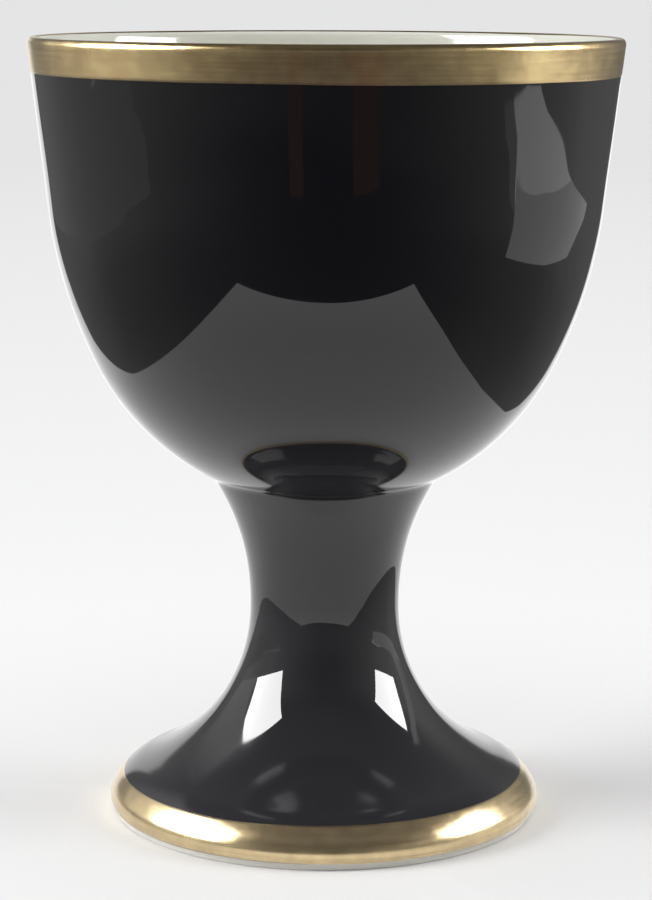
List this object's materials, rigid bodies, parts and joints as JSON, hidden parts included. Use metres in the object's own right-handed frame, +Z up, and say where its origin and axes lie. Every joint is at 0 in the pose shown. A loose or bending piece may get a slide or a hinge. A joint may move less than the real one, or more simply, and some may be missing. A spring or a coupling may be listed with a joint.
{
  "type": "footed goblet",
  "caption": "Porcelain goblet: deep round bowl on a waisted hollow stem and spreading foot, black glaze outside, white inside, gilt rim and foot edge; for drinks or display.",
  "frame": {"origin": "centre of the resting ring, on the plane of the table", "axes": "+Z up along the axis of the turned form; the picture looks along +Y with +X to the right"},
  "size_m": [0.0998, 0.0998, 0.1331],
  "materials": {
    "porcelain": "bare fired porcelain, white and finely matt",
    "black_glaze": "mirror-gloss black glaze",
    "white_glaze": "glossy clear glaze over white porcelain",
    "gold": "brushed-on fired gold, satin with fine streaks"
  },
  "bodies": {
    "root": {"bowl": "porcelain", "stem_and_foot": "porcelain", "luting_slip": "porcelain", "black_glaze": "black_glaze", "bowl_lining_glaze": "white_glaze", "foot_lining_glaze": "white_glaze", "rim_gilding": "gold", "foot_gilding": "gold"}
  },
  "joints": []
}
